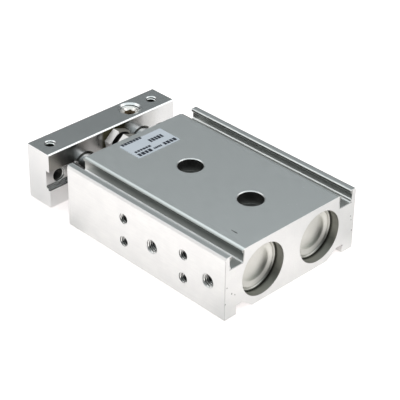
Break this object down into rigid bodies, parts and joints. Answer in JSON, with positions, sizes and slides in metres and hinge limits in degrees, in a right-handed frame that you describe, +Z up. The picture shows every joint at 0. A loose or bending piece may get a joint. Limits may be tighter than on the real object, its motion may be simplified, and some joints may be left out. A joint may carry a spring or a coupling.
{
  "type": "guided pneumatic cylinder",
  "caption": "Compact guided pneumatic cylinder: extruded aluminium body with switch slots and side air ports, paired guide rods and an end plate with a stroke stop.",
  "frame": {"origin": "on the flat underside of the body, midway between the two upright through holes", "axes": "+X along the rods, the way they push out; +Y towards the side with the open air ports; +Z up, towards the face with the switch slots"},
  "size_m": [0.104, 0.064, 0.0251],
  "materials": {
    "anodised": "clear anodised extrusion, satin, fine lengthwise grain on the faces",
    "plate_anodised": "clear anodised, satin",
    "cover_aluminium": "pressed and chromate treated, silky",
    "bearing_alloy": "turned aluminium bearing alloy",
    "piston_aluminium": "turned, chromate treated",
    "chromed_steel": "hard chrome, ground and polished",
    "nickel_steel": "bright nickel plate",
    "black_steel": "black oxide",
    "spring_steel": "phosphated",
    "nitrile": "matte black",
    "urethane": "translucent amber, matte",
    "wear_resin": "natural resin",
    "magnet": "bonded magnet, dark grey",
    "label_film": null
  },
  "bodies": {
    "body_unit": {"housing": "anodised", "label": "label_film", "port_plug_rear": "nickel_steel", "port_plug_front": "nickel_steel", "head_cover_a": "cover_aluminium", "head_cover_b": "cover_aluminium", "head_cover_seal_a": "nitrile", "head_cover_seal_b": "nitrile", "rod_cover_a": "bearing_alloy", "rod_cover_b": "bearing_alloy", "rod_cover_seal_a": "nitrile", "rod_cover_seal_b": "nitrile", "rod_seal_a": "nitrile", "rod_seal_b": "nitrile", "seal_retainer_a": "cover_aluminium", "seal_retainer_b": "cover_aluminium", "retaining_ring_a": "spring_steel", "retaining_ring_b": "spring_steel"},
    "rod_unit": {"end_plate": "plate_anodised", "rod_cap_screw": "black_steel", "rod_set_screw": "nickel_steel", "piston_rod_a": "chromed_steel", "piston_rod_b": "chromed_steel", "piston_a": "piston_aluminium", "piston_b": "piston_aluminium", "wear_ring_a": "wear_resin", "wear_ring_b": "wear_resin", "magnet_a": "magnet", "magnet_b": "magnet", "piston_seal_a": "nitrile", "piston_seal_b": "nitrile", "rear_bumper_a": "urethane", "rear_bumper_b": "urethane", "front_bumper_a": "urethane", "front_bumper_b": "urethane", "piston_nut_a": "spring_steel", "piston_nut_b": "spring_steel"},
    "stop_tip": {"adjuster_bumper": "urethane"},
    "stop_screw": {"adjuster_bolt": "nickel_steel"},
    "stop_nut": {"lock_nut": "nickel_steel"}
  },
  "joints": [
    {"name": "rod_slide", "type": "slide", "parent": "body_unit", "child": "rod_unit", "axis": [1, 0, 0], "range_m": [0, 0.01]},
    {"name": "stop_travel", "type": "slide", "parent": "rod_unit", "child": "stop_tip", "axis": [1, 0, 0], "range_m": [0, 0.002]},
    {"name": "stop_turn", "type": "hinge", "parent": "stop_tip", "child": "stop_screw", "pos_m": [0.055, -0.0012, 0.0169], "axis": [1, 0, 0], "range_deg": [0, 720]},
    {"name": "nut_turn", "type": "hinge", "parent": "rod_unit", "child": "stop_nut", "pos_m": [0.055, -0.0012, 0.0169], "axis": [1, 0, 0], "range_deg": [-90, 0]}
  ],
  "couplings": [
    {"joint": "stop_turn", "follows": "stop_travel", "rad_per_m": 6283.2}
  ]
}
